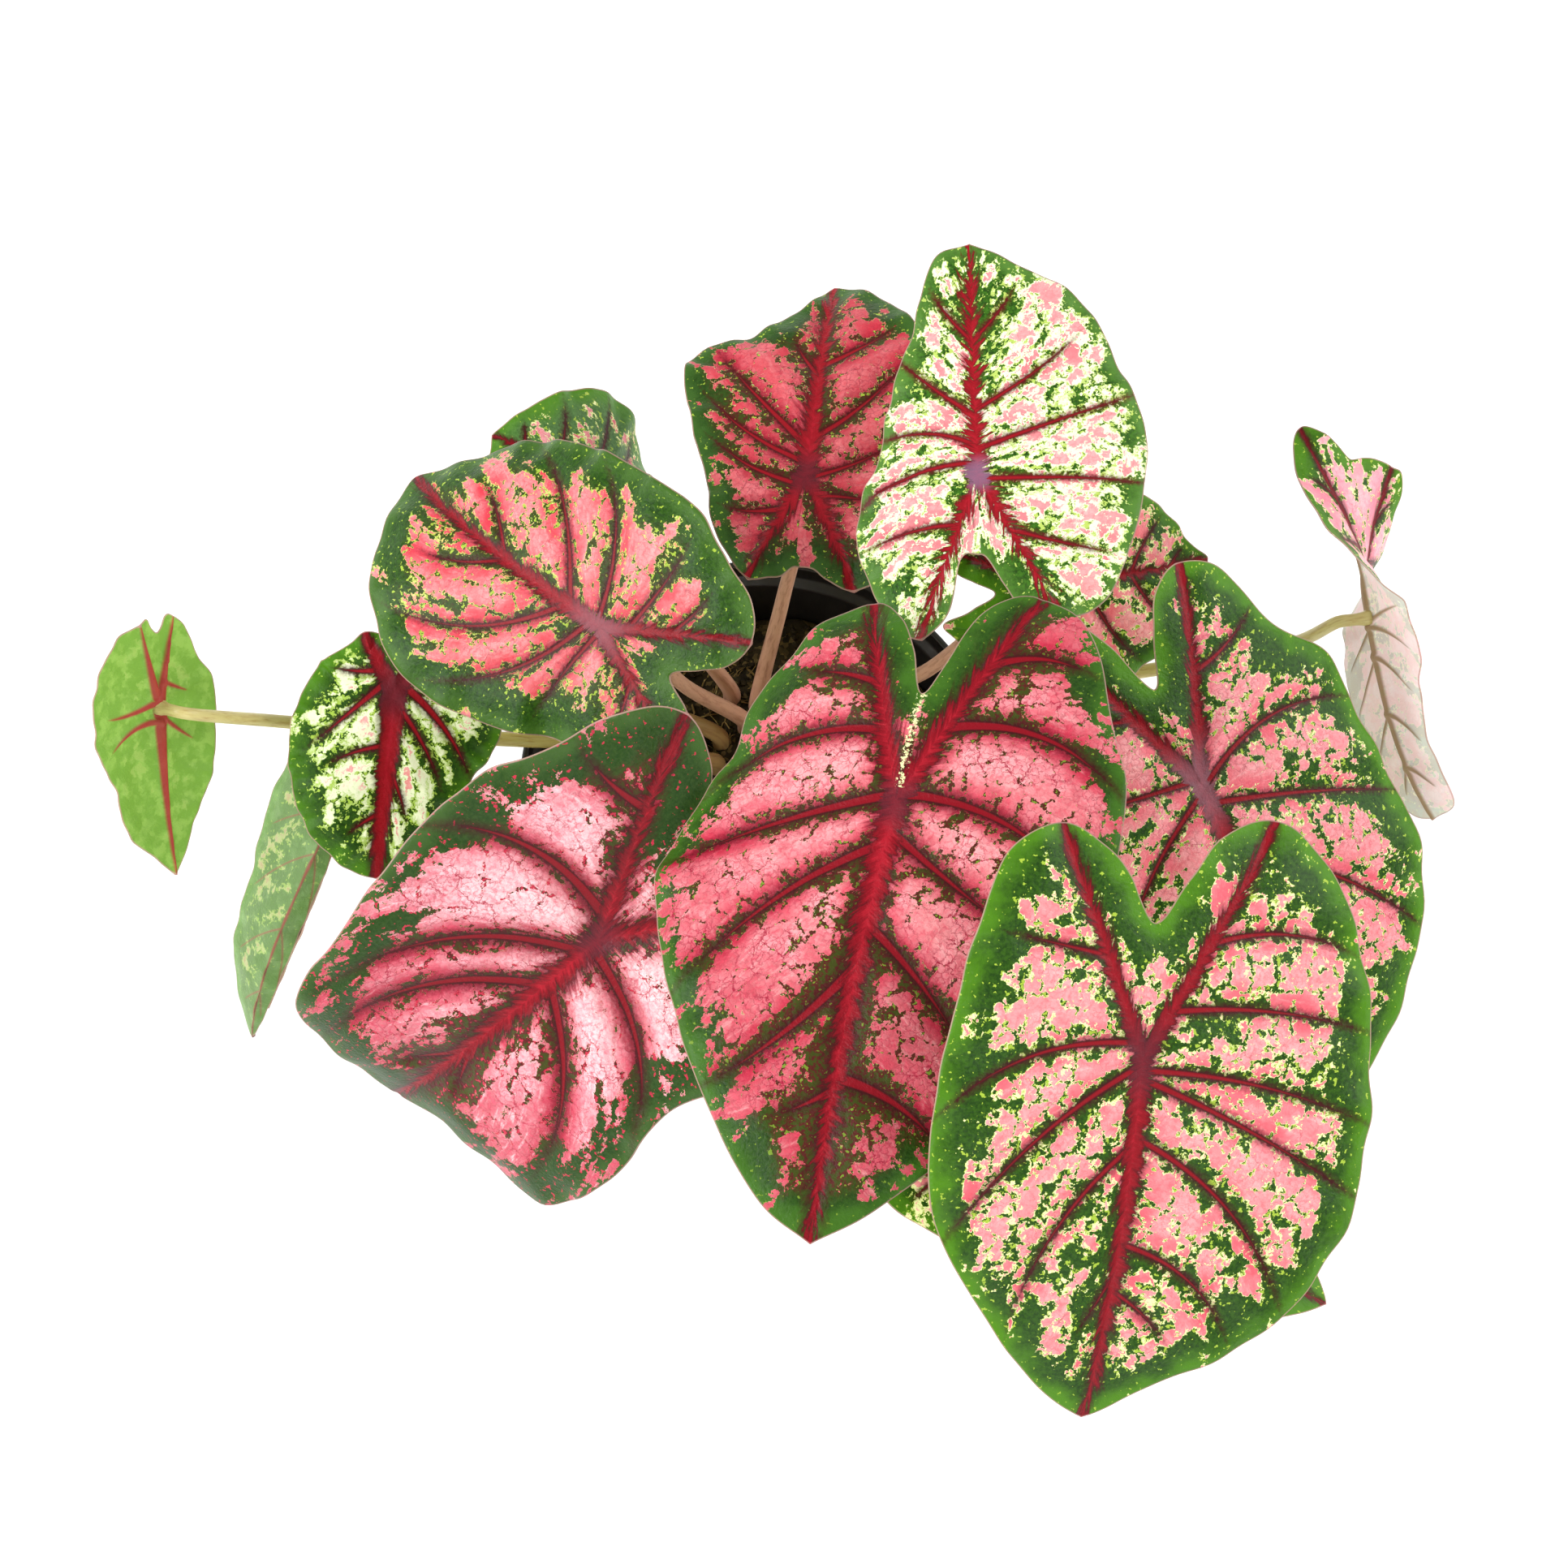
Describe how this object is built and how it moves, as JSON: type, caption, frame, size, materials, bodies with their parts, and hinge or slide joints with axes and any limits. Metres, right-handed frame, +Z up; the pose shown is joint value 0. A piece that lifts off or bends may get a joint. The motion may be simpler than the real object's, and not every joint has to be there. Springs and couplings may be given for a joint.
{
  "type": "potted caladium",
  "caption": "Potted foliage plant: heart-shaped pink and green leaves on slender stems, rising from soil in a round tapered nursery pot.",
  "frame": {"origin": "centre of the pot's flat underside, on the floor", "axes": "+Z up; +X to the right when seen from the front, which is the side of the two large front leaves; +Y to the back"},
  "size_m": [0.3492, 0.3204, 0.2958],
  "materials": {
    "pot": "black moulded polypropylene, satin on the rim",
    "soil": "dry peat with coarse fibres",
    "leaf": "soft satin leaf, green with pink patches and red veins",
    "stem": "smooth leaf stalk"
  },
  "bodies": {
    "root": {"pot": "pot", "soil": "soil", "leaf_front_right": "leaf", "stem_front_right": "stem", "leaf_centre": "leaf", "stem_centre": "stem", "leaf_front_left": "leaf", "stem_front_left": "stem", "leaf_left": "leaf", "stem_left": "stem", "leaf_back": "leaf", "stem_back": "stem", "leaf_back_right": "leaf", "stem_back_right": "stem", "leaf_right": "leaf", "stem_right": "stem", "leaf_right_behind": "leaf", "stem_right_behind": "stem", "leaf_left_low": "leaf", "stem_left_low": "stem", "leaf_left_hanging": "leaf", "stem_left_hanging": "stem", "leaf_back_left": "leaf", "stem_back_left": "stem", "leaf_far_left": "leaf", "stem_far_left": "stem", "leaf_far_right": "leaf", "stem_far_right": "stem", "leaf_front_hidden": "leaf", "stem_front_hidden": "stem"}
  },
  "joints": []
}
